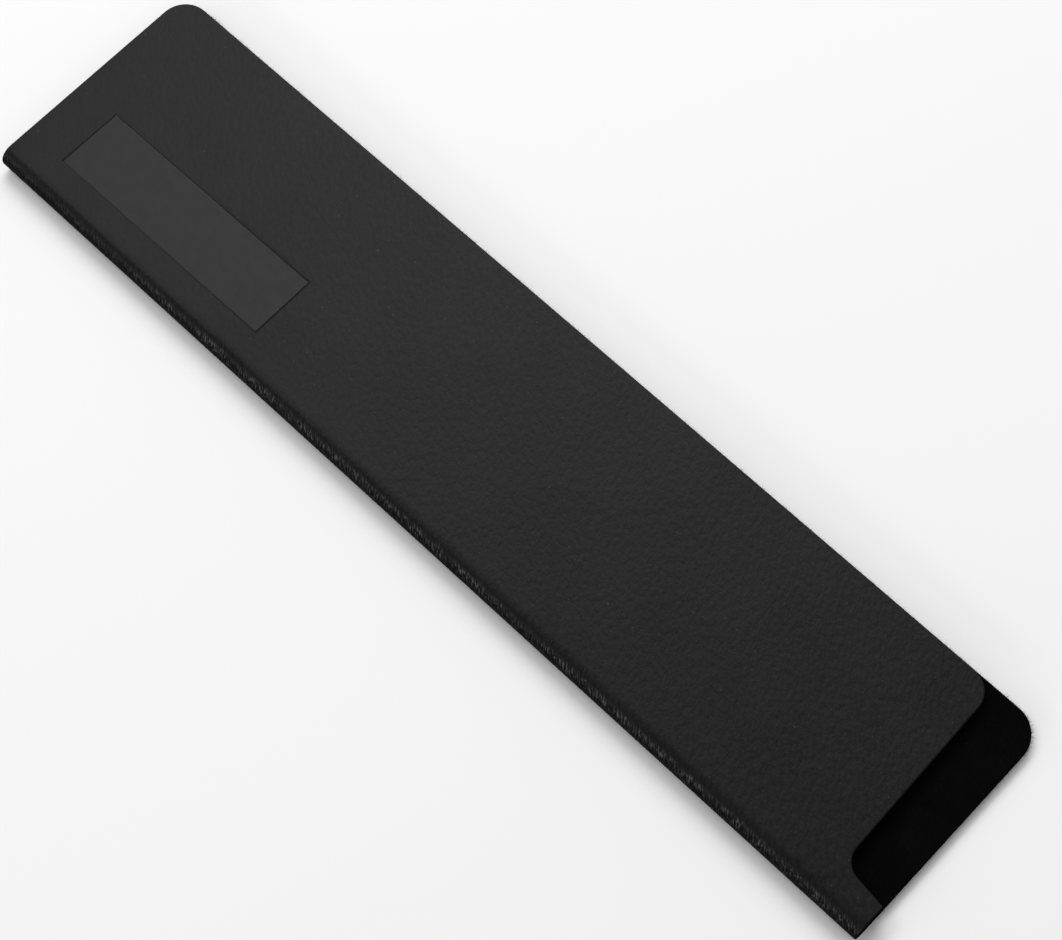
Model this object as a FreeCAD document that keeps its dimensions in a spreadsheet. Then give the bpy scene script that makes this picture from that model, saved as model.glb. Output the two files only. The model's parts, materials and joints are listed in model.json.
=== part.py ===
"""Knife blade guard: a grained plastic sheet lined with felt and folded over along one long edge.

The sheet, the adhesive film and the felt are cut to one outline and bent together, so each layer has
a back panel, a half-round bend at the fold and a front panel. The front panel is cut short at the
mouth, where the blade goes in, and keeps a narrow tab along the fold. It springs open about the bend.

Frame: +X along the guard towards its mouth, +Y from the fold to the open edge, +Z up through the
front panel. The origin is under the middle of the guard, on the back panel's outer face.
"""
import FreeCAD, Part
import math
import os
import Sketcher

# Driving dimensions in millimetres.
SIZES = {
    "length": 220.0,                # closed end to mouth, along the fold
    "width": 50.4,                  # outside of the fold to the back panel's open edge
    "sheet_thickness": 1.0,         # plastic sheet
    "glue_thickness": 0.1,          # adhesive film under the felt
    "felt_thickness": 1.0,          # felt lining
    "fold_gap": 1.6,                # between the two felt faces at the fold
    "edge_gap": 0.4,                # between the two felt faces at the open edge
    "edge_step": 0.8,               # how far the back panel stands out past the front one
    "closed_corner_radius": 5.5,    # both panels, closed end at the open edge
    "back_mouth_radius": 6.0,       # back panel, mouth at the open edge
    "front_mouth_radius": 5.0,      # front panel, mouth at the open edge
    "notch_depth": 9.85,            # how far the front panel stops short of the mouth, beside the tab
    "notch_slant": 1.2,             # further setback of that edge where it meets the open edge
    "notch_radius": 4.0,            # inner corner between that edge and the tab
    "tab_tip_width": 6.9,           # tab at the mouth, from the outside of the fold
    "tab_root_width": 8.1,          # tab at the inner corner, from the outside of the fold
    "label_length": 53.8,           # label film along the guard
    "label_width": 14.0,            # label film across the guard
    "label_from_end": 10.2,         # closed end to the label film
    "label_from_fold": 7.8,         # outside of the fold to the label film
    "label_thickness": 0.2,         # label film
    "label_gap": 0.2,               # groove left open round the label film
    "recess_depth": 0.25,           # recess that the label film lies in
}

doc = FreeCAD.newDocument("knife_blade_guard")
sizes = doc.addObject("Spreadsheet::Sheet", "sizes")
for row, (alias, size) in enumerate(SIZES.items(), 1):
    sizes.set(f"A{row}", alias)
    sizes.set(f"B{row}", str(size))
    sizes.setAlias(f"B{row}", alias)
doc.recompute()

# Sizes that follow from the driving ones, as expressions on the sheet. Runs are measured from the
# line where the bend ends and a flat panel begins.
CLOSED_END = "(-sizes.length / 2)"
MOUTH_END = "(sizes.length / 2)"
LINED_THICKNESS = "(sizes.sheet_thickness + sizes.glue_thickness + sizes.felt_thickness)"
FOLD_RADIUS = f"({LINED_THICKNESS} + sizes.fold_gap / 2)"
FOLD_CENTRE_Y = f"({FOLD_RADIUS} - sizes.width / 2)"
BACK_RUN = f"(sizes.width - {FOLD_RADIUS})"
FRONT_RUN = f"({BACK_RUN} - sizes.edge_step)"
FRONT_TILT = f"asin((sizes.fold_gap - sizes.edge_gap) / {FRONT_RUN})"

# Angles about the fold's centre, in the plane across the guard, from +Y towards +Z.
FRONT_ANGLE = f"(90 deg - {FRONT_TILT})"
MIDDLE_ANGLE = "180 deg"
BACK_ANGLE = "270 deg"

# Layers of the sheet from the outside in: name, depth of the outer face, thickness.
LAYERS = [
    ("panel", "0", "sizes.sheet_thickness"),
    ("adhesive", "sizes.sheet_thickness", "sizes.glue_thickness"),
    ("felt", "(sizes.sheet_thickness + sizes.glue_thickness)", "sizes.felt_thickness"),
]

# Outlines of the flat panels as corners and the radius that rounds each, none where it stays sharp.
BACK_OUTLINE = [
    (CLOSED_END, "0", None),
    (MOUTH_END, "0", None),
    (MOUTH_END, BACK_RUN, "sizes.back_mouth_radius"),
    (CLOSED_END, BACK_RUN, "sizes.closed_corner_radius"),
]
FRONT_OUTLINE = [
    (CLOSED_END, "0", None),
    (MOUTH_END, "0", None),
    (MOUTH_END, f"(sizes.tab_tip_width - {FOLD_RADIUS})", None),
    (f"({MOUTH_END} - sizes.notch_depth)", f"(sizes.tab_root_width - {FOLD_RADIUS})", "sizes.notch_radius"),
    (f"({MOUTH_END} - sizes.notch_depth - sizes.notch_slant)", FRONT_RUN, "sizes.front_mouth_radius"),
    (CLOSED_END, FRONT_RUN, "sizes.closed_corner_radius"),
]


def value(expression):
    """The number that an expression on the sheet has now; an angle comes in degrees."""
    result = sizes.evalExpression(expression.replace("sizes.", ""))
    return getattr(result, "Value", result)


def new_body(label, centre_z, tilted=False):
    """A body whose own X axis lies along the fold; a tilted one leans down towards the open edge."""
    body = doc.addObject("PartDesign::Body", label)
    body.Label = label
    body.setExpression("Placement.Base.y", FOLD_CENTRE_Y)
    body.setExpression("Placement.Base.z", centre_z)
    if tilted:
        body.Placement.Rotation = FreeCAD.Rotation(FreeCAD.Vector(-1, 0, 0), value(FRONT_TILT))
        body.setExpression("Placement.Rotation.Angle", FRONT_TILT)
    return body


def new_sketch(body, name, role, height="0"):
    """A sketch on one of the body's own origin planes, lifted off it by an expression."""
    sketch = body.newObject("Sketcher::SketchObject", f"{body.Label}_{name}")
    plane = next(feature for feature in body.Origin.OriginFeatures if feature.Role == role)
    sketch.AttachmentSupport = [(plane, "")]
    sketch.MapMode = "FlatFace"
    sketch.setExpression("AttachmentOffset.Base.z", height)
    return sketch


def bind(sketch, constraint, expression):
    """Add a constraint with a size and bind that size to an expression."""
    index = sketch.addConstraint(constraint)
    sketch.setExpression(f"Constraints[{index}]", expression)


def draw_polygon(sketch, corners):
    """A closed outline of straight runs, each corner held at its X and Y expressions from the origin."""
    points = [FreeCAD.Vector(value(x), value(y), 0) for x, y in corners]
    for edge, (start, stop) in enumerate(zip(points, points[1:] + points[:1])):
        sketch.addGeometry(Part.LineSegment(start, stop), False)
        for kind, expression in zip(("DistanceX", "DistanceY"), corners[edge]):
            bind(sketch, Sketcher.Constraint(kind, -1, 1, edge, 1, value(expression)), expression)
    for edge in range(len(points)):
        sketch.addConstraint(Sketcher.Constraint("Coincident", edge, 2, (edge + 1) % len(points), 1))


def draw_bend(sketch, outer, inner, start, stop):
    """Section of one bent layer: part of a ring about the fold's centre, between two angles."""
    turn = [math.radians(value(angle)) for angle in (start, stop)]
    for edge, radius in enumerate((outer, inner)):
        circle = Part.Circle(FreeCAD.Vector(), FreeCAD.Vector(0, 0, 1), value(radius))
        sketch.addGeometry(Part.ArcOfCircle(circle, *turn), False)
        sketch.addConstraint(Sketcher.Constraint("Coincident", edge, 3, -1, 1))
        bind(sketch, Sketcher.Constraint("Radius", edge, value(radius)), radius)
    rim, bore = sketch.Geometry
    for end, points, angle in ((1, (bore.StartPoint, rim.StartPoint), start),
                               (2, (bore.EndPoint, rim.EndPoint), stop)):
        edge = sketch.addGeometry(Part.LineSegment(*points), False)
        sketch.addConstraint(Sketcher.Constraint("Coincident", edge, 1, 1, end))
        sketch.addConstraint(Sketcher.Constraint("Coincident", edge, 2, 0, end))
        sketch.addConstraint(Sketcher.Constraint("PointOnObject", -1, 1, edge))
        bind(sketch, Sketcher.Constraint("Angle", edge, turn[end - 1]), angle)


def pad(body, sketch, length, sides="One side"):
    """Raise a sketch by a length expression, to one side or evenly to both."""
    feature = body.newObject("PartDesign::Pad", f"{sketch.Name}_pad")
    feature.Profile = sketch
    feature.SideType = sides
    feature.setExpression("Length", length)
    doc.recompute()


def round_corner(body, x, y, radius):
    """Round the upright edge of a flat layer that stands at one corner of its outline."""
    corner = FreeCAD.Vector(value(x), value(y), 0)
    edges = []
    for index, edge in enumerate(body.Tip.Shape.Edges, 1):
        ends = [FreeCAD.Vector(vertex.X, vertex.Y, 0) for vertex in edge.Vertexes]
        if all(end.isEqual(corner, Part.Precision.confusion()) for end in ends):
            edges.append(f"Edge{index}")
    fillet = body.newObject("PartDesign::Fillet", f"{body.Label}_corner")
    fillet.Base = (fillet.BaseFeature, edges)
    fillet.setExpression("Radius", radius)
    doc.recompute()


def flat_layer(label, outline, low, thickness, centre_z, tilted=False):
    """One layer of a flat panel, cut to the panel's outline."""
    body = new_body(label, centre_z, tilted)
    sketch = new_sketch(body, "outline", "XY_Plane", low)
    draw_polygon(sketch, [(x, y) for x, y, radius in outline])
    pad(body, sketch, thickness)
    for x, y, radius in outline:
        if radius:
            round_corner(body, x, y, radius)
    return body


def bent_layer(label, outer, thickness, start=FRONT_ANGLE, stop=BACK_ANGLE):
    """One layer of the bend between two angles, cut square at both ends."""
    body = new_body(label, FOLD_RADIUS)
    section = new_sketch(body, "section", "YZ_Plane")
    draw_bend(section, outer, f"({outer} - {thickness})", start, stop)
    pad(body, section, "sizes.length", "Symmetric")
    return body


def cut(body, sketch, depth):
    """Cut a sketch out of a body to a depth, and see that it took something off."""
    before = body.Shape.Volume
    pocket = body.newObject("PartDesign::Pocket", f"{sketch.Name}_cut")
    pocket.Profile = sketch
    pocket.setExpression("Length", depth)
    doc.recompute()
    if body.Shape.Volume >= before:
        raise RuntimeError(f"{pocket.Name} took nothing off {body.Label}")


def label_rectangle(margin):
    """The label film's outline on the front panel, grown by a margin all round."""
    left = f"({CLOSED_END} + sizes.label_from_end - {margin})"
    right = f"({CLOSED_END} + sizes.label_from_end + sizes.label_length + {margin})"
    low = f"(sizes.label_from_fold - {FOLD_RADIUS} - {margin})"
    high = f"(sizes.label_from_fold + sizes.label_width - {FOLD_RADIUS} + {margin})"
    return [(left, low), (right, low), (right, high), (left, high)]


# The lined sheet, layer by layer: back panel, bend and front panel. The plastic of the bend is two
# quarter rounds that meet at the outside of the fold, the other layers of it are one half round.
nodes = []
for layer, depth, thickness in LAYERS:
    outer = f"({FOLD_RADIUS} - {depth})"
    front_low = f"({outer} - {thickness})"
    nodes.append(flat_layer(f"back_{layer}", BACK_OUTLINE, depth, thickness, "0"))
    if layer == "panel":
        nodes.append(bent_layer("fold_panel_lower", outer, thickness, start=MIDDLE_ANGLE))
        nodes.append(bent_layer("fold_panel_upper", outer, thickness, stop=MIDDLE_ANGLE))
    else:
        nodes.append(bent_layer(f"fold_{layer}", outer, thickness))
    nodes.append(flat_layer(f"front_{layer}", FRONT_OUTLINE, front_low, thickness, FOLD_RADIUS, tilted=True))

# The recess pressed into the front panel's outer face, and the smooth label film that lies in it.
front_panel = next(body for body in nodes if body.Label == "front_panel")
recess = new_sketch(front_panel, "recess", "XY_Plane", FOLD_RADIUS)
draw_polygon(recess, label_rectangle("sizes.label_gap"))
cut(front_panel, recess, "sizes.recess_depth")

label_film = new_body("label_film", FOLD_RADIUS, tilted=True)
film = new_sketch(label_film, "outline", "XY_Plane", f"({FOLD_RADIUS} - sizes.recess_depth)")
draw_polygon(film, label_rectangle("0"))
pad(label_film, film, "sizes.label_thickness")
nodes.append(label_film)

doc.recompute()
for item in doc.Objects:
    if "Invalid" in item.State or "Error" in item.State:
        raise RuntimeError(f"{item.Name} failed: {item.State}")
for body in nodes:
    if body.Shape.isNull() or not body.Shape.isValid() or len(body.Shape.Solids) != 1:
        raise RuntimeError(f"{body.Label} is not one sound solid")

os.makedirs("parts", exist_ok=True)
for body in nodes:
    body.Shape.exportStep(f"parts/{body.Label}.step")
    print(body.Label, round(body.Shape.Volume, 2))
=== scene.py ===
"""Knife blade guard: a black grained plastic sheet, folded over along one long edge and lined with felt.

Metres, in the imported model's frame: +X along the guard from its closed end to its mouth, +Y from the fold
to the open edge, +Z up from the back panel through the front panel. Every layer is laid out flat first,
as (along the guard, across the sheet, depth below its outer face), and then folded over.
"""
import json
import math

import bmesh
import bpy
import numpy as np
from mathutils import Matrix, Vector


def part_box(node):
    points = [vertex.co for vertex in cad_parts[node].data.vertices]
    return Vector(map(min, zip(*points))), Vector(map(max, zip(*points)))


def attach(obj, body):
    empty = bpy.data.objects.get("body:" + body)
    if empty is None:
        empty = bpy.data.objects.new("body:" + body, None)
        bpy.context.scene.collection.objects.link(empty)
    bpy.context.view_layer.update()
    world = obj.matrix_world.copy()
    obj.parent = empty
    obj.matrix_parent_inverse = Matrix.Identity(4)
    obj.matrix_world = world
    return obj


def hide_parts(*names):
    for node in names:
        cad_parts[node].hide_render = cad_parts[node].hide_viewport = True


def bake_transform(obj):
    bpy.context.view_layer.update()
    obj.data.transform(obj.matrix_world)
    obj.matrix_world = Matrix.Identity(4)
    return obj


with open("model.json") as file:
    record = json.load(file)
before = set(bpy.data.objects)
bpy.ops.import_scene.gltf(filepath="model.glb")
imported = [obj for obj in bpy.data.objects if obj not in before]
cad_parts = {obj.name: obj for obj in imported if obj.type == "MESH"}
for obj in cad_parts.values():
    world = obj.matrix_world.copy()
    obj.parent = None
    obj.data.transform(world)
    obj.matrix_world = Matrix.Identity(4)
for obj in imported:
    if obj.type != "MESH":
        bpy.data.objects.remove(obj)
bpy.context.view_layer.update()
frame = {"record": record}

# Back panel: half of the plastic sheet, black, 1 mm thick, with a fine grain rolled into its outer face.
# It is die-cut with the rest of the sheet, which rounds its outer edge a little, and lies flat.
mm = 0.001
sheet_thickness = 1.0 * mm
sheet_edge = 0.3 * mm
closed_corner_radius = 5.5 * mm
back_mouth_radius = 6.0 * mm
(closed_end, _, _), (mouth_end, back_edge, _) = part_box("back_panel")
_, fold_y, fold_radius = frame["record"]["behaviour"]["joints"][0]["pos_m"]
back_run = back_edge - fold_y
edge_step = 0.8 * mm
front_run = back_run - edge_step
fold_gap = 1.6 * mm
edge_gap = 0.4 * mm
front_tilt = math.asin((fold_gap - edge_gap) / front_run)
bend_ease = 0.8 * mm
bend_slack = bend_ease ** 2 / (6 * fold_radius)
bend_radius = fold_radius - bend_slack
bend_turn = math.pi + front_tilt
bend_length = bend_turn * bend_radius + 2 * bend_slack
seam_margin = 1.6 * mm


def eased(distance):
    """The distance past a point, none before it: it comes in as a square over an ease on both sides."""
    near = np.clip(distance + bend_ease, 0, 2 * bend_ease)
    return near ** 2 / (4 * bend_ease) + np.maximum(distance - bend_ease, 0)


def turned(across):
    """How far the sheet has turned at a place across it: evenly through the bend, and eased at its ends."""
    return (eased(across - bend_slack) - eased(across - bend_length + bend_slack)) / bend_radius


bend_samples = 600
bend_places = np.linspace(-bend_ease, bend_length + bend_ease, bend_samples)
bend_steps = np.diff(bend_places)
bend_turns = turned(bend_places[:-1] + bend_steps / 2)
bend_run = np.append(0, np.cumsum(np.cos(bend_turns) * bend_steps)) - bend_ease
bend_rise = np.append(0, np.cumsum(np.sin(bend_turns) * bend_steps))


def fold_over(flat):
    """Where points of the flat sheet lie once it is folded.

    The outer face runs along the sum of its own direction, which turns from -Y over to +Y through the bend
    and is steady before and after it. A point lies its depth inside that face.
    """
    x, across, depth = flat.T
    turn = turned(across)
    place = np.clip(across, bend_places[0], bend_places[-1])
    run = np.interp(place, bend_places, bend_run) + (across - place) * np.cos(turn)
    rise = np.interp(place, bend_places, bend_rise) + (across - place) * np.sin(turn)
    return np.stack([x, fold_y - run + depth * np.sin(turn), rise + depth * np.cos(turn)], axis=-1)


arc_steps = 14


def rounded_chain(corners):
    """Points and outward normals along straight runs with rounded corners (x, across, radius).

    Each corner is an arc that touches both its runs: it starts the radius times the tangent of half the
    turn before the corner, and its centre lies square to the first run. Outward is left of the way along.
    """
    spots = np.array([corner[:2] for corner in corners])
    ways = np.diff(spots, axis=0)
    ways /= np.linalg.norm(ways, axis=1)[:, None]
    lefts = np.stack([-ways[:, 1], ways[:, 0]], axis=-1)
    points = [spots[:1]]
    outward = [lefts[:1]]
    for (x, across, radius), way, after, left in zip(corners[1:-1], ways, ways[1:], lefts):
        turn = math.atan2(way[0] * after[1] - way[1] * after[0], way @ after)
        swing = np.linspace(0, turn, arc_steps)
        normal = np.outer(np.cos(swing), left) - np.outer(np.sin(swing), way)
        start = np.array([x, across]) - radius * math.tan(abs(turn) / 2) * way
        bulge = math.copysign(radius, turn)
        points.append(start + bulge * left - bulge * normal)
        outward.append(normal)
    return np.concatenate(points + [spots[-1:]]), np.concatenate(outward + [lefts[-1:]])


closed_lean = 9 * mm
mouth_lean = 24 * mm
line_digits = 8


def panel_grid(corners, columns, rows, inset):
    """Plan grid inside a panel's outline, as (x, across, outward normal) with the normals on its border.

    Each row runs from the closed end's outline to the mouth's. Columns near an end lean over by the
    outline's distance from a straight end, which fades to nothing further in.
    """
    points, outward = rounded_chain(corners)
    points = points - inset * outward
    half = 1 + arc_steps
    near = np.hstack([points, outward])[:half]
    far = np.hstack([points, outward])[half:][::-1]
    levels = np.unique(np.concatenate([rows, near[:, 1], far[:, 1]]).round(line_digits))
    near = np.stack([np.interp(levels, near[:, 1], column) for column in near.T], axis=-1)
    far = np.stack([np.interp(levels, far[:, 1], column) for column in far.T], axis=-1)
    lean_near = np.clip(1 - (columns - columns[0]) / closed_lean, 0, 1)
    lean_far = np.clip(1 - (columns[-1] - columns) / mouth_lean, 0, 1)
    x = columns + np.outer(near[:, 0] - columns[0], lean_near) + np.outer(far[:, 0] - columns[-1], lean_far)
    across = np.repeat(levels[:, None], len(columns), axis=1)
    normals = np.zeros(x.shape + (2,))
    normals[-1, :] = (0, 1)
    normals[:, 0] = near[:, 2:] / np.linalg.norm(near[:, 2:], axis=1)[:, None]
    normals[:, -1] = far[:, 2:] / np.linalg.norm(far[:, 2:], axis=1)[:, None]
    return x, across, normals


edge_support = 0.12 * mm


def grid_lines(low, high, count):
    """Evenly spaced lines, with one more close to each end that keeps the face flat up to its edge."""
    return np.concatenate([[low, low + edge_support], np.linspace(low, high, count)[1:-1],
                           [high - edge_support, high]])


def lay_on(flat, body):
    """Takes runs from the bend to places across the sheet: before it on the back, past it on the front."""
    flat[:, 1] = -flat[:, 1] if body == "back" else bend_length + flat[:, 1]
    return flat


def border(grid):
    """The values round a grid's border, once about."""
    return np.concatenate([grid[:, 0], grid[-1, 1:], grid[-2::-1, -1], grid[0, -2:0:-1]])


def quads(index):
    """Four-cornered faces between the neighbours of an index grid, along its last two directions."""
    corners = [index[..., :-1, :-1], index[..., :-1, 1:], index[..., 1:, 1:], index[..., 1:, :-1]]
    return np.stack(corners, axis=-1).reshape(-1, 4)


def plate(x, across, normals, outer, inner, rim):
    """A closed plate: an outer and an inner face over one plan grid, joined round the border by a rim.

    The rim is a profile of (outset, depth) pairs carried round the border: each of its points stands out
    from the border along the border's outward normal, at its own depth. Where the normal is zero the rim
    is an upright wall.
    """
    index = np.arange(x.size).reshape(x.shape)
    outset, depth = rim[1:-1].T
    edge = np.stack([border(x), border(across)], axis=-1)
    rings = edge + outset[:, None, None] * border(normals)
    depths = np.broadcast_to(depth[:, None, None], rings.shape[:2] + (1,))
    rings = np.concatenate([rings, depths], axis=-1)
    faces = [np.stack([x, across, np.broadcast_to(level, x.shape)], axis=-1) for level in (outer, inner)]
    points = np.concatenate([part.reshape(-1, 3) for part in faces + [rings]])
    ring_index = 2 * x.size + np.arange(rings[..., 0].size).reshape(rings.shape[:2])
    ring_index = np.vstack([border(index), ring_index, border(index) + x.size])
    ring_index = np.hstack([ring_index, ring_index[:, :1]])
    return points, np.concatenate([quads(index), quads(index + x.size), quads(ring_index)])


crease_angle = math.radians(35)


def add_piece(name, flat, faces, material):
    """A piece of the guard: its flat points folded over, with their flat places kept in millimetres."""
    mesh = bpy.data.meshes.new(name)
    mesh.from_pydata(fold_over(flat).tolist(), [], faces.tolist())
    places = mesh.attributes.new("flat", "FLOAT_VECTOR", "POINT")
    places.data.foreach_set("vector", (flat / mm).astype(np.float32).ravel())
    shell = bmesh.new()
    shell.from_mesh(mesh)
    bmesh.ops.recalc_face_normals(shell, faces=shell.faces)
    shell.to_mesh(mesh)
    shell.free()
    mesh.shade_smooth()
    mesh.set_sharp_from_angle(angle=crease_angle)
    mesh.materials.append(material)
    piece = bpy.data.objects.new(name, mesh)
    bpy.context.scene.collection.objects.link(piece)
    return piece


def new_material(name):
    """An empty material, as (material, node tree, its main shader)."""
    material = bpy.data.materials.new(name)
    material.use_nodes = True
    return material, material.node_tree, material.node_tree.nodes["Principled BSDF"]


def add_node(tree, kind, settings=None, **inputs):
    """A node with its settings, and its inputs set to values or linked to other nodes' outputs."""
    node = tree.nodes.new(kind)
    for name, value in (settings or {}).items():
        setattr(node, name, value)
    for name, value in inputs.items():
        socket = node.inputs[int(name[1:]) if name[1:].isdigit() else name.replace("_", " ")]
        if isinstance(value, bpy.types.NodeSocket):
            tree.links.new(value, socket)
        else:
            socket.default_value = value
    return node


def flat_place(tree, mark=(1, 1, 1), slant=0):
    """The point's place on the flat sheet, counted in marks of that length and width in millimetres.

    The marks' length is turned from the guard's own by the slant, in degrees.
    """
    place = add_node(tree, "ShaderNodeAttribute", {"attribute_name": "flat"})
    turned_by = (0, 0, math.radians(slant))
    node = add_node(tree, "ShaderNodeMapping", {"vector_type": "TEXTURE"},
                    Vector=place.outputs["Vector"], Rotation=turned_by, Scale=mark)
    return node.outputs["Vector"]


def noise(tree, vector, scale=1, detail=2, roughness=0.55, distortion=0):
    """Cloudy noise from 0 to 1, with that many features to a mark or a millimetre."""
    node = add_node(tree, "ShaderNodeTexNoise", Vector=vector, Scale=scale, Detail=detail,
                    Roughness=roughness, Distortion=distortion)
    return node.outputs["Fac"]


def between(tree, value, low, high, to_low, to_high):
    """The value, taken smoothly from the range low to high into the range to_low to to_high."""
    node = add_node(tree, "ShaderNodeMapRange", {"interpolation_type": "SMOOTHSTEP"}, Value=value,
                    From_Min=low, From_Max=high, To_Min=to_low, To_Max=to_high)
    return node.outputs["Result"]


noise_span = (0.3, 0.7)


def vary(tree, pattern, low, high):
    """Cloudy noise, from the span that it mostly keeps to, taken smoothly into the range low to high."""
    return between(tree, pattern, *noise_span, low, high)


def combine(tree, operation, first, *others):
    """Arithmetic of several values, taken in turn."""
    for other in others:
        node = add_node(tree, "ShaderNodeMath", {"operation": operation}, _0=first, _1=other)
        first = node.outputs["Value"]
    return first


def tint(tree, shader, colour, shade):
    """Sets the shader's colour to one colour times a shade that varies."""
    scaled = add_node(tree, "ShaderNodeVectorMath", {"operation": "SCALE"}, _0=colour, Scale=shade)
    tree.links.new(scaled.outputs["Vector"], shader.inputs["Base Color"])


def emboss(tree, shader, height, strength, distance):
    """Tilts the shader's normal by a height pattern of that depth."""
    bump = add_node(tree, "ShaderNodeBump", Height=height, Strength=strength, Distance=distance)
    tree.links.new(bump.outputs["Normal"], shader.inputs["Normal"])


# Marks, fades and reaches of the grain are in millimetres on the flat sheet.
plastic_black = (0.0060, 0.0060, 0.0062)
grain_mark = (1.5, 0.85, 1)
grain_slant = -47
grain_depth = 0.1 * mm
grain_reach = 110
grain_closed_share = 0.35
taut_and_shade_fade = (1.5, 2.9)
# Painted shade: the middle of the bend is painted darker than the plastic's own black.
taut_painted_shade = 0.85
taut_dulling = 0.54
stroke_mark = (1.2, 0.38, 1)
stroke_slant = -63
stroke_fade = (2.4, 4.6)
stroke_relief = 3.5
crest_rise = (0.9, 2.0)
crest_fall = (2.3, 3.3)
crest_span = (0.45, 0.66)
# Pale crests on the fold: partly stress whitening, partly painted glints of the low light.
crest_paling_and_glint = 14
crest_middle_share = 0.15
# The pale crests fade towards the closed end, as painted glints that follow how the light falls there.
crest_reach = 70
crest_closed_share = 0.25
patch_span = (0.4, 0.6)
patch_least_share = 0.35
speck_span = (0.74, 0.8)
speck_paling = 5


def grained_plastic():
    """Black plastic with a fine slanted grain, which is drawn out where the sheet was bent.

    Each zone fades by the distance from the middle of the bend, in millimetres. The middle is drawn tight:
    smooth and dull, and painted darker as painted shade on the fold's outside. On its shoulders the grain
    is drawn into strokes, and the crests of some are paler: partly stress whitening, partly painted glints.
    The grain's relief and the pale crests grow along the guard, from the closed end to their reach from it;
    the crests grow as painted glints that follow how the light falls on the fold.
    """
    material, tree, shader = new_material("grained_plastic")
    place = flat_place(tree)
    parts = add_node(tree, "ShaderNodeSeparateXYZ", Vector=place)
    along = combine(tree, "SUBTRACT", parts.outputs["X"], closed_end / mm)
    aside = combine(tree, "SUBTRACT", parts.outputs["Y"], bend_length / mm / 2)
    aside = combine(tree, "ABSOLUTE", aside, 0)
    taut_and_shaded = between(tree, aside, *taut_and_shade_fade, 1, 0)
    shoulder = between(tree, aside, *stroke_fade, 1, 0)
    crest = between(tree, aside, *crest_rise, crest_middle_share, between(tree, aside, *crest_fall, 1, 0))
    grain = noise(tree, flat_place(tree, grain_mark, grain_slant))
    stroke = noise(tree, flat_place(tree, stroke_mark, stroke_slant))
    spark = between(tree, stroke, *crest_span, 0, 1)
    patch = between(tree, noise(tree, place, scale=0.35), *patch_span, patch_least_share, 1)
    cloud = vary(tree, noise(tree, place, scale=0.06, detail=3), 0.85, 1.15)
    speck = between(tree, noise(tree, place, scale=1.3, detail=1), *speck_span, 0, speck_paling)
    mottle = vary(tree, grain, -0.25, 0.25)
    # Painted shade: the middle of the bend is darker than the plastic's own black.
    dark = combine(tree, "MULTIPLY", taut_and_shaded, -taut_painted_shade)
    # Pale crests: partly stress whitening, partly painted glints, fewer towards the closed end as the light
    # falls.
    glint_share_along = between(tree, along, 0, crest_reach, crest_closed_share, 1)
    whitening_and_glints = combine(tree, "MULTIPLY", crest, spark, patch, glint_share_along, crest_paling_and_glint)
    shade = combine(tree, "ADD", cloud, speck, mottle, dark, whitening_and_glints)
    tint(tree, shader, plastic_black, shade)
    dull = combine(tree, "ADD", vary(tree, grain, 0.36, 0.44), combine(tree, "MULTIPLY", taut_and_shaded, taut_dulling))
    tree.links.new(dull, shader.inputs["Roughness"])
    shader.inputs["Specular IOR Level"].default_value = 0.12
    relief = between(tree, along, 0, grain_reach, grain_closed_share, 1)
    relief = combine(tree, "MULTIPLY", relief, combine(tree, "SUBTRACT", grain, 0.5))
    drawn = combine(tree, "MULTIPLY", shoulder, combine(tree, "SUBTRACT", stroke, 0.5), stroke_relief)
    emboss(tree, shader, combine(tree, "ADD", relief, drawn), strength=1.0, distance=grain_depth)
    return material


# Painted shade: the cut finish is half the face's black, darker along the sheet's rounded outline.
cut_and_shaded_black = (0.0030, 0.0030, 0.0031)
cut_mark = (0.3, 0.3, 2)


def cut_plastic():
    """The sheet's cut edge: black, dull and without shine, with fine marks from the die."""
    material, tree, shader = new_material("cut_plastic")
    tint(tree, shader, cut_and_shaded_black, vary(tree, noise(tree, flat_place(tree, cut_mark)), 0.7, 1.3))
    shader.inputs["Roughness"].default_value = 1.0
    shader.inputs["Specular IOR Level"].default_value = 0.0
    return material


grained_roll_steps = 2


def trim(piece, edge):
    """Gives the faces of a sheet's rim their cut finish, all but the upper steps of its roll."""
    # The cut finish on the lower roll steps is painted darker, as painted shade along the sheet's outline.
    piece.data.materials.append(cut_edge_with_shade)
    cut_steps = len(sheet_rim) - 1 - grained_roll_steps
    finish = np.zeros(len(piece.data.polygons), dtype=np.int32)
    finish[-cut_steps * len(edge):] = 1
    piece.data.polygons.foreach_set("material_index", finish)


plastic = grained_plastic()
cut_edge_with_shade = cut_plastic()
back_corners = [
    (closed_end, seam_margin, 0),
    (closed_end, back_run, closed_corner_radius),
    (mouth_end, back_run, back_mouth_radius),
    (mouth_end, seam_margin, 0),
]
roll_points = 5
roll = np.linspace(0, math.pi / 2, roll_points)
sheet_rim = np.concatenate([
    np.stack([sheet_edge * np.sin(roll), sheet_edge * (1 - np.cos(roll))], axis=-1),
    [(sheet_edge, sheet_thickness), (0, sheet_thickness)],
])
column_count = 180
row_count = 40
columns = grid_lines(closed_end + sheet_edge, mouth_end - sheet_edge, column_count)
rows = grid_lines(seam_margin, back_run - sheet_edge, row_count)
x, run, normals = panel_grid(back_corners, columns, rows, sheet_edge)
flat, faces = plate(x, run, normals, 0, sheet_thickness, sheet_rim)
back_sheet = add_piece("back_sheet", lay_on(flat, "back"), faces, plastic)
trim(back_sheet, border(x))
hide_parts("back_panel")
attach(back_sheet, "back")

# Fold: the same sheet, heated and bent half round between the two panels. It is the hinge, and it springs.
# The grain on its outside is drawn out where the sheet was stretched, and its crests are paler: partly
# stress whitening, partly painted glints. Its middle is painted darker, as painted shade.


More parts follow.
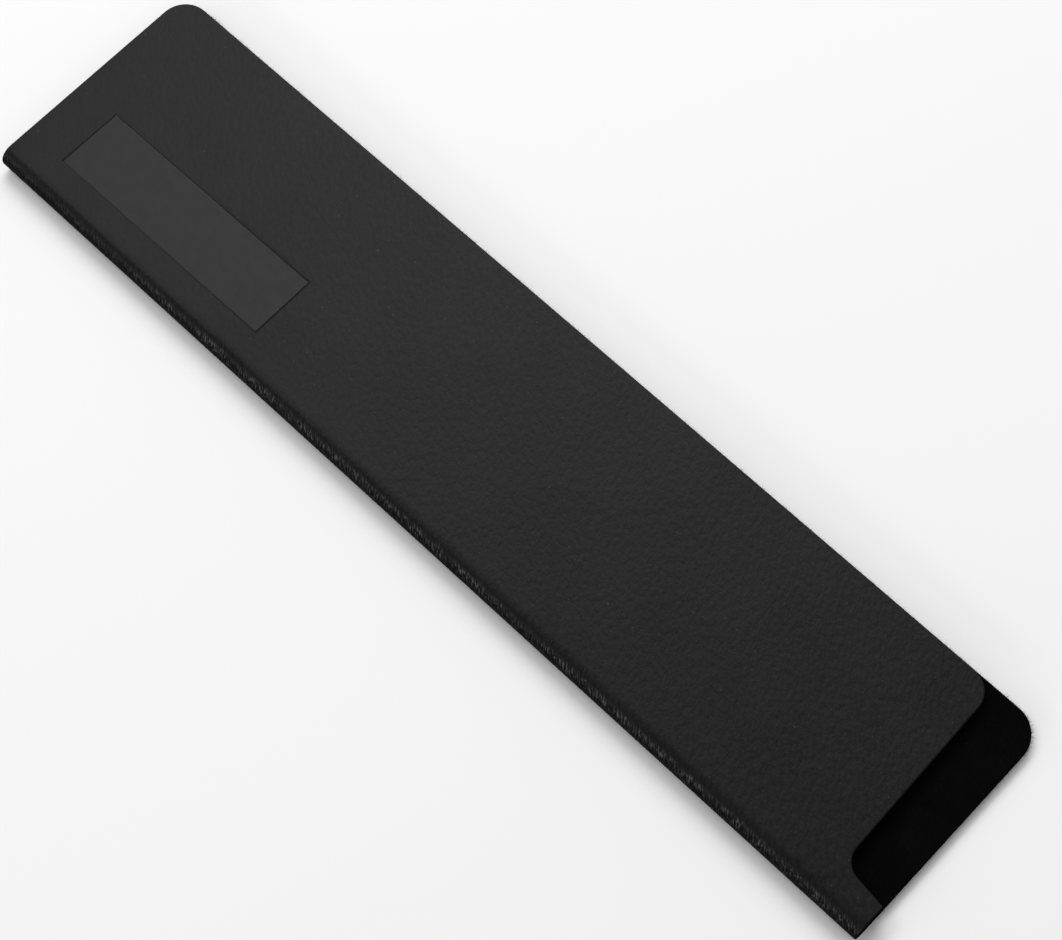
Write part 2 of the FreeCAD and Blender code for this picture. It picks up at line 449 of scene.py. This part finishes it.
def bend_grid(columns, count, margin):
    """Plan grid over the bend and a margin of flat sheet each side, with the normals of its two ends."""
    x, across = np.meshgrid(columns, np.linspace(-margin, bend_length + margin, count))
    normals = np.zeros(x.shape + (2,))
    normals[:, 0] = (-1, 0)
    normals[:, -1] = (1, 0)
    return x, across, normals


bend_row_count = 120
x, across, normals = bend_grid(columns, bend_row_count, seam_margin)
flat, faces = plate(x, across, normals, 0, sheet_thickness, sheet_rim)
fold_sheet = add_piece("fold_sheet", flat, faces, plastic)
trim(fold_sheet, border(x))
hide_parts("fold_panel_lower", "fold_panel_upper")
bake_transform(fold_sheet)

# Front panel: the other half of the sheet, which leans down towards the open edge. It is cut short at the
# mouth but for a tab along the fold, and has a shallow rectangular recess pressed in for the label film.
front_mouth_radius = 5.0 * mm
notch_depth = 9.85 * mm
notch_slant = 1.2 * mm
notch_radius = 4.0 * mm
tab_tip_width = 6.9 * mm
tab_tip = tab_tip_width - fold_radius
tab_root_width = 8.1 * mm
tab_root = tab_root_width - fold_radius
tab_corner_radius = 0.4 * mm
label_length = 53.8 * mm
label_width = 14.0 * mm
label_from_end = 10.2 * mm
label_left = closed_end + label_from_end
label_right = label_left + label_length
label_from_fold = 7.8 * mm
label_low = label_from_fold - fold_radius
label_high = label_low + label_width
label_middle_x = label_left + label_length / 2
label_middle_run = label_low + label_width / 2
label_skew = 0.0078
skew_reach = 3 * mm
recess_depth = 0.25 * mm
groove_depth = 0.12 * mm
groove_rise_closed_share = 0.45
groove_rise_open_share = 0.35
groove_foot = 0.04 * mm
groove_lip = 0.26 * mm
lip_line_count = 5
front_corners = [
    (closed_end, seam_margin, 0),
    (closed_end, front_run, closed_corner_radius),
    (mouth_end - notch_depth - notch_slant, front_run, front_mouth_radius),
    (mouth_end - notch_depth, tab_root, notch_radius),
    (mouth_end, tab_tip, tab_corner_radius),
    (mouth_end, seam_margin, 0),
]


def lip_lines(low, high):
    """Lines down both lips of the recess along one direction, with one just inside the label's edge."""
    steps = np.append(np.linspace(groove_foot, groove_foot + groove_lip, lip_line_count), -groove_foot)
    return np.concatenate([low - steps, high + steps])


def pressed(x, run):
    """Depth of the front panel's face: the recess under the label, and a groove with a soft lip round it.

    The lip goes down smoothly over its width, by the distance from the label's edge, to a flat groove,
    which gets evenly shallower from the mouth to the closed end and from the fold to the open edge.
    """
    beyond_x = np.abs(x - label_middle_x) - label_length / 2
    beyond_run = np.abs(run - label_middle_run) - label_width / 2
    beyond = np.maximum(beyond_x, beyond_run)
    down = np.clip((groove_foot + groove_lip - beyond) / groove_lip, 0, 1)
    from_mouth = np.clip((label_right - x) / label_length, 0, 1)
    from_fold = np.clip((run - label_low) / label_width, 0, 1)
    rise = groove_rise_closed_share * from_mouth + groove_rise_open_share * from_fold
    groove = groove_depth * (1 - rise) * down ** 2 * (3 - 2 * down)
    return np.where(beyond < 0, recess_depth, groove)


def askew(x, run):
    """Runs on the front panel, tilted with the label, which was pressed in a little askew.

    A run shifts by the skew times the distance from the label's middle, all over the label, and the shift
    fades to none some way outside it.
    """
    from_middle = x - label_middle_x
    beyond_x = np.maximum(np.abs(from_middle) - label_length / 2, 0)
    beyond_run = np.maximum(np.abs(run - label_middle_run) - label_width / 2, 0)
    return run + label_skew * from_middle * np.clip(1 - np.hypot(beyond_x, beyond_run) / skew_reach, 0, 1)


front_columns = np.concatenate([columns, lip_lines(label_left, label_right)])
front_columns = np.unique(front_columns.round(line_digits))
front_rows = grid_lines(seam_margin, front_run - sheet_edge, row_count)
front_rows = np.concatenate([front_rows, lip_lines(label_low, label_high)])
x, run, normals = panel_grid(front_corners, front_columns, front_rows, sheet_edge)
flat, faces = plate(x, askew(x, run), normals, pressed(x, run), sheet_thickness, sheet_rim)
front_sheet = add_piece("front_sheet", lay_on(flat, "front"), faces, plastic)
trim(front_sheet, border(x))
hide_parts("front_panel")
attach(front_sheet, "front")

# Adhesive film: a clear acrylic layer that bonds the felt to the inside of the sheet all over.
# Only its edge shows, as a thin dark line a little way in from the sheet's own cut edge.
film_thickness = 0.1 * mm
film_setback = 0.08 * mm
film_bottom = sheet_thickness + film_thickness
film_amber = (0.032, 0.030, 0.025)
film_mark = (1, 1, 4)
film_ripple_depth = 0.02 * mm
film_column_count = 60
film_row_count = 12
film_bend_row_count = 60


def clear_film():
    """Clear acrylic, dark over black and slightly amber, with soft ripples in its cut edge."""
    material, tree, shader = new_material("adhesive")
    ripple = noise(tree, flat_place(tree, film_mark), scale=1.5)
    tint(tree, shader, film_amber, vary(tree, ripple, 0.6, 1.4))
    tree.links.new(vary(tree, ripple, 0.25, 0.4), shader.inputs["Roughness"])
    emboss(tree, shader, ripple, strength=0.4, distance=film_ripple_depth)
    return material


film = clear_film()
film_rim = np.array([(0, sheet_thickness), (0, film_bottom)])
film_columns = np.linspace(closed_end + film_setback, mouth_end - film_setback, film_column_count)
for body, corners in (("back", back_corners), ("front", front_corners)):
    rows = np.linspace(seam_margin, corners[1][1] - film_setback, film_row_count)
    x, run, normals = panel_grid(corners, film_columns, rows, film_setback)
    flat, faces = plate(x, run, normals, sheet_thickness, film_bottom, film_rim)
    piece = add_piece(f"{body}_film", lay_on(flat, body), faces, film)
    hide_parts(f"{body}_adhesive")
    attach(piece, body)
x, across, normals = bend_grid(film_columns, film_bend_row_count, seam_margin)
flat, faces = plate(x, across, normals, sheet_thickness, film_bottom, film_rim)
fold_film = add_piece("fold_film", flat, faces, film)
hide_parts("fold_adhesive")
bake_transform(fold_film)

# Felt lining: one sheet of black pressed felt, 1 mm thick, cut with the sheet and bonded to its inside.
# It is shown as its back, fold and front. Its free face has a short uneven pile and its cut edge is soft.
felt_thickness = 1.0 * mm
felt_edge = 0.3 * mm
felt_margin = 3.0 * mm
felt_face = film_bottom + felt_thickness
felt_black = (0.0025, 0.0025, 0.0027)
felt_sheen = (0.05, 0.05, 0.055, 1)
felt_column_count = 330
felt_row_count = 74
felt_bend_row_count = 60
tangle_depth = 0.12 * mm
dust_span = (0.79, 0.83)
dust_paling = 6
pile_height = 0.04 * mm
felt_seed = 11
chance = np.random.default_rng(felt_seed)


def black_felt():
    """Black felt: matted fibres in darker and paler tangles, with a rare pale speck of dust."""
    material, tree, shader = new_material("felt")
    place = flat_place(tree)
    tangle = noise(tree, place, scale=2.5, detail=4, roughness=0.7, distortion=2.5)
    cloud = vary(tree, noise(tree, place, scale=0.15), 0.85, 1.15)
    dust = between(tree, noise(tree, place, scale=1.7, detail=1), *dust_span, 0, dust_paling)
    tone = combine(tree, "MULTIPLY", vary(tree, tangle, 0.6, 1.5), cloud)
    tint(tree, shader, felt_black, combine(tree, "ADD", tone, dust))
    shader.inputs["Roughness"].default_value = 1.0
    shader.inputs["Specular IOR Level"].default_value = 0.0
    shader.inputs["Sheen Weight"].default_value = 0.15
    shader.inputs["Sheen Roughness"].default_value = 0.6
    shader.inputs["Sheen Tint"].default_value = felt_sheen
    emboss(tree, shader, tangle, strength=0.8, distance=tangle_depth)
    return material


def pile(shape):
    """Seeded random heights, each averaged with its four neighbours."""
    heights = chance.normal(size=shape)
    around = sum(np.roll(heights, step, axis) for axis in (0, 1) for step in (-1, 1))
    return (heights + around) / 5


fibre_count = {"back": 4200, "front": 3000}
fibre_thickness = 0.018 * mm
fibre_tip_share = 0.05
fibre_shortest = 0.25 * mm
fibre_longest = 1.2 * mm
fibre_spread = 0.16 * mm
fibre_spread_shape = 1.5
fibre_root_share = 0.6
fibre_scatter = 0.4 * mm
fibre_turn = 0.45
fibre_curl = 0.6
fibre_rings = 5
fibre_sides = 3


def stray_fibres(body, x, run, normals):
    """Fibres that stand out of a lining's cut edge, each a tapering three-sided tube.

    A fibre leaves its root along the edge's outward normal, turned at random, and curls aside by the
    square of the distance along it. Its section is a triangle that shrinks towards the tip. The lengths
    past the shortest have a gamma spread, so that few fibres are long.
    """
    edge = np.stack([border(x), border(run), border(normals[..., 0]), border(normals[..., 1])], axis=-1)
    edge = edge[edge[:, 2:].any(axis=1)]
    count = fibre_count[body]
    root = edge[chance.integers(0, len(edge), count)]
    depth = chance.uniform(film_bottom, felt_face, count)
    start = np.stack([root[:, 0], root[:, 1], depth], axis=-1)
    start[:, :2] += root[:, 2:] * felt_edge * fibre_root_share
    start[:, :2] += root[:, [3, 2]] * chance.uniform(-fibre_scatter, fibre_scatter, (count, 1))
    way = np.stack([root[:, 2], root[:, 3], np.zeros(count)], axis=-1)
    way += chance.normal(0, fibre_turn, (count, 3))
    way /= np.linalg.norm(way, axis=1)[:, None]
    aside = np.cross(way, chance.normal(size=(count, 3)))
    aside /= np.linalg.norm(aside, axis=1)[:, None]
    length = fibre_shortest + chance.gamma(fibre_spread_shape, fibre_spread, count)
    length = np.minimum(length, fibre_longest)
    along = np.linspace(0, 1, fibre_rings)
    line = along[:, None] * way[:, None] + (along ** 2)[:, None] * aside[:, None] * fibre_curl
    line = start[:, None] + length[:, None, None] * line
    corner = np.linspace(0, math.tau, fibre_sides, endpoint=False)
    other = np.cross(way, aside)
    ring = np.cos(corner)[:, None] * aside[:, None] + np.sin(corner)[:, None] * other[:, None]
    thickness = fibre_thickness * (1 + fibre_tip_share - along)
    flat = line[:, :, None] + thickness[:, None, None] * ring[:, None]
    index = np.arange(flat[..., 0].size).reshape(flat.shape[:3])
    index = np.concatenate([index, index[:, :, :1]], axis=2)
    piece = add_piece(f"{body}_fibres", lay_on(flat.reshape(-1, 3), body), quads(index), felt)
    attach(piece, body)
    return piece


felt = black_felt()
felt_rim = np.concatenate([
    [(0, film_bottom), (felt_edge, film_bottom)],
    np.stack([felt_edge * np.cos(roll), felt_face - felt_edge * (1 - np.sin(roll))], axis=-1),
])
felt_columns = np.linspace(closed_end + felt_edge, mouth_end - felt_edge, felt_column_count)
for body, corners in (("back", back_corners), ("front", front_corners)):
    corners = [(x, max(run, felt_margin), radius) for x, run, radius in corners]
    rows = np.linspace(felt_margin, corners[1][1] - felt_edge, felt_row_count)
    x, run, normals = panel_grid(corners, felt_columns, rows, felt_edge)
    raised = felt_face + pile_height * pile(x.shape)
    flat, faces = plate(x, run, normals, film_bottom, raised, felt_rim)
    piece = add_piece(f"{body}_lining", lay_on(flat, body), faces, felt)
    fibres = stray_fibres(body, x, run, normals)
    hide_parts(f"{body}_felt")
    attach(piece, body)
x, across, normals = bend_grid(felt_columns, felt_bend_row_count, felt_margin)
raised = felt_face + pile_height * pile(x.shape)
flat, faces = plate(x, across, normals, film_bottom, raised, felt_rim)
fold_lining = add_piece("fold_lining", flat, faces, felt)
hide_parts("fold_felt")
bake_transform(fold_lining)

# Label film: a smooth satin black rectangle, bare, stuck into the recess of the front panel.
# Its top lies just below the panel's face, and an open groove is left round it.
label_thickness = 0.2 * mm
label_edge = 0.2 * mm
label_roll = 0.06 * mm
label_black = (0.0080, 0.0080, 0.0083)
label_ripple_depth = 0.02 * mm
label_column_count = 54
label_row_count = 14


def satin_film():
    """Smooth black film with a satin gloss and a faint orange-peel ripple."""
    material, tree, shader = new_material("label")
    place = flat_place(tree)
    ripple = noise(tree, place, scale=0.4)
    tint(tree, shader, label_black, vary(tree, noise(tree, place, scale=0.08), 0.92, 1.08))
    tree.links.new(vary(tree, ripple, 0.40, 0.44), shader.inputs["Roughness"])
    shader.inputs["Specular IOR Level"].default_value = 0.18
    emboss(tree, shader, ripple, strength=0.2, distance=label_ripple_depth)
    return material


label_top = recess_depth - label_thickness
label_rim = np.concatenate([
    np.stack([label_edge * np.sin(roll), label_top + label_roll * (1 - np.cos(roll))], axis=-1),
    [(label_edge, recess_depth), (0, recess_depth)],
])
label_columns = grid_lines(label_left + label_edge, label_right - label_edge, label_column_count)
label_rows = grid_lines(label_low + label_edge, label_high - label_edge, label_row_count)
x, run = np.meshgrid(label_columns, label_rows)
normals = np.zeros(x.shape + (2,))
normals[:, 0] += (-1, 0)
normals[:, -1] += (1, 0)
normals[0] += (0, -1)
normals[-1] += (0, 1)
flat, faces = plate(x, askew(x, run), normals, label_top, recess_depth, label_rim)
label = add_piece("label", lay_on(flat, "front"), faces, satin_film())
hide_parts("label_film")
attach(label, "front")

# Floor: a plain pale sheet just below the guard, which takes its shadow.
# It is so wide that its far edge doesn't show from a low angle.
floor_size = 40.0
floor_drop = 0.1 * mm
floor_pale = (0.93, 0.93, 0.93, 1)
material, tree, shader = new_material("floor")
shader.inputs["Base Color"].default_value = floor_pale
shader.inputs["Roughness"].default_value = 0.9
shader.inputs["Specular IOR Level"].default_value = 0
mesh = bpy.data.meshes.new("floor")
reach = np.array([-floor_size, floor_size]) / 2
floor_x, floor_y = np.meshgrid(reach, reach)
floor_points = np.stack([floor_x, floor_y, np.full_like(floor_x, -floor_drop)], axis=-1).reshape(-1, 3)
mesh.from_pydata(floor_points.tolist(), [], quads(np.arange(4).reshape(2, 2)).tolist())
mesh.materials.append(material)
floor = bpy.data.objects.new("floor", mesh)
bpy.context.scene.collection.objects.link(floor)


# Light: a soft box high over the open edge on the closed end's side, a low strip along the fold, a small
# fill high beyond the closed end, and a dim even room.
def area_light(name, place, size, power):
    """A rectangular soft light at a place, turned to the guard."""
    lamp = bpy.data.lights.new(name, "AREA")
    lamp.shape = "RECTANGLE"
    lamp.size, lamp.size_y = size
    lamp.energy = power
    light = bpy.data.objects.new(name, lamp)
    light.location = place
    light.rotation_euler = (-Vector(place)).to_track_quat("-Z", "Y").to_euler()
    light.visible_camera = False
    bpy.context.scene.collection.objects.link(light)


area_light("soft_box", place=(-0.6, 0.75, 1.2), size=(1.0, 1.0), power=13.8)
area_light("low_strip", place=(-0.2, -1.2, 0.48), size=(1.3, 0.2), power=2.6)
area_light("fold_fill", place=(-0.65, -0.15, 1.0), size=(0.5, 0.3), power=2.6)
room_level = 0.4
world = bpy.data.worlds.new("room")
bpy.context.scene.world = world
world.use_nodes = True
world.node_tree.nodes["Background"].inputs["Color"].default_value = (1, 1, 1, 1)
world.node_tree.nodes["Background"].inputs["Strength"].default_value = room_level

# Camera: above the fold's mouth end, looking down along the guard, with the picture's own tilt.
# The focal length is in pixels of that picture, whose width is in pixels too.
camera_place = Vector((0.1342, -0.0998, 0.4192))
camera_view = Vector((-0.2781, 0.2213, -0.9347))
camera_right = Vector((0.7196, 0.6925, -0.0501))
picture_width = 1062
focal_length = 2426
lens = bpy.data.cameras.new("camera")
lens.lens = lens.sensor_width * focal_length / picture_width
camera = bpy.data.objects.new("camera", lens)
bpy.context.scene.collection.objects.link(camera)
camera_up = camera_right.cross(camera_view).normalized()
turn = Matrix((camera_view.cross(camera_up), camera_up, -camera_view)).transposed()
camera.matrix_world = Matrix.Translation(camera_place) @ turn.to_4x4()
bpy.context.scene.camera = camera
bpy.context.scene.view_settings.view_transform = "Standard"
